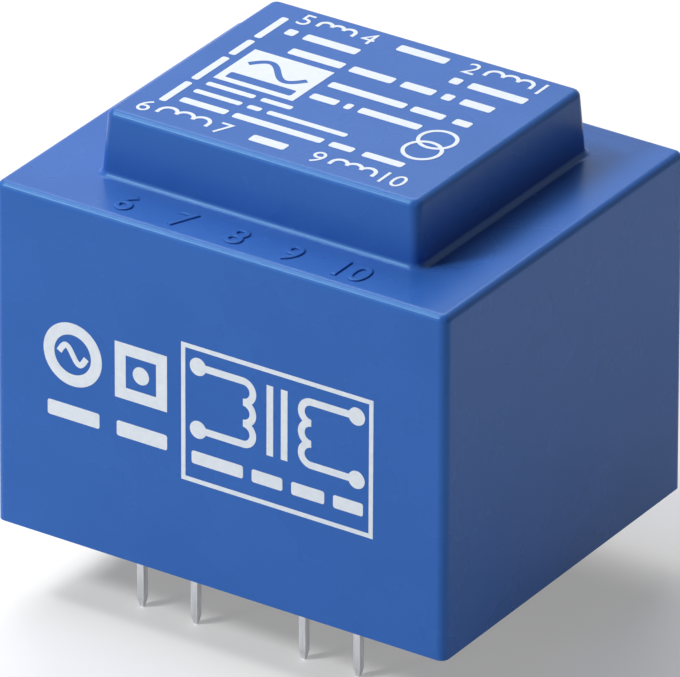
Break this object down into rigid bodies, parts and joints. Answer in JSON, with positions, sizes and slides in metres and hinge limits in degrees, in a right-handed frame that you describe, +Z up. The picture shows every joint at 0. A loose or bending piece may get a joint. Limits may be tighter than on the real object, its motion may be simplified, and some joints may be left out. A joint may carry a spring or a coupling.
{
  "type": "pcb transformer",
  "caption": "Blue potted mains transformer for a circuit board, with a raised block over its coil and two rows of square solder pins.",
  "frame": {"origin": "centre of the case's open rim, in the plane that sits on the circuit board", "axes": "+Z up, away from the board; +X along the pin rows, to the right when the primary row faces the viewer; +Y towards the secondary row"},
  "size_m": [0.0412, 0.0338, 0.0412],
  "materials": {
    "case_plastic": "satin",
    "potting_resin": "satin",
    "former_plastic": "satin",
    "core_steel": "satin",
    "enamelled_copper": "gloss",
    "polyester_tape": "gloss",
    "solder": "satin",
    "tinned_wire": "satin",
    "print_ink": "satin"
  },
  "bodies": {
    "root": {"case": "case_plastic", "potting_compound": "potting_resin", "coil_former": "former_plastic", "e_laminations": "core_steel", "i_laminations": "core_steel", "primary_winding_1": "enamelled_copper", "primary_winding_2": "enamelled_copper", "secondary_winding_1": "enamelled_copper", "secondary_winding_2": "enamelled_copper", "primary_layer_tape": "polyester_tape", "primary_cover_tape": "polyester_tape", "secondary_layer_tape": "polyester_tape", "secondary_cover_tape": "polyester_tape", "solder_joints": "solder", "pin_1": "tinned_wire", "pin_2": "tinned_wire", "pin_4": "tinned_wire", "pin_5": "tinned_wire", "pin_6": "tinned_wire", "pin_7": "tinned_wire", "pin_9": "tinned_wire", "pin_10": "tinned_wire"}
  },
  "joints": []
}
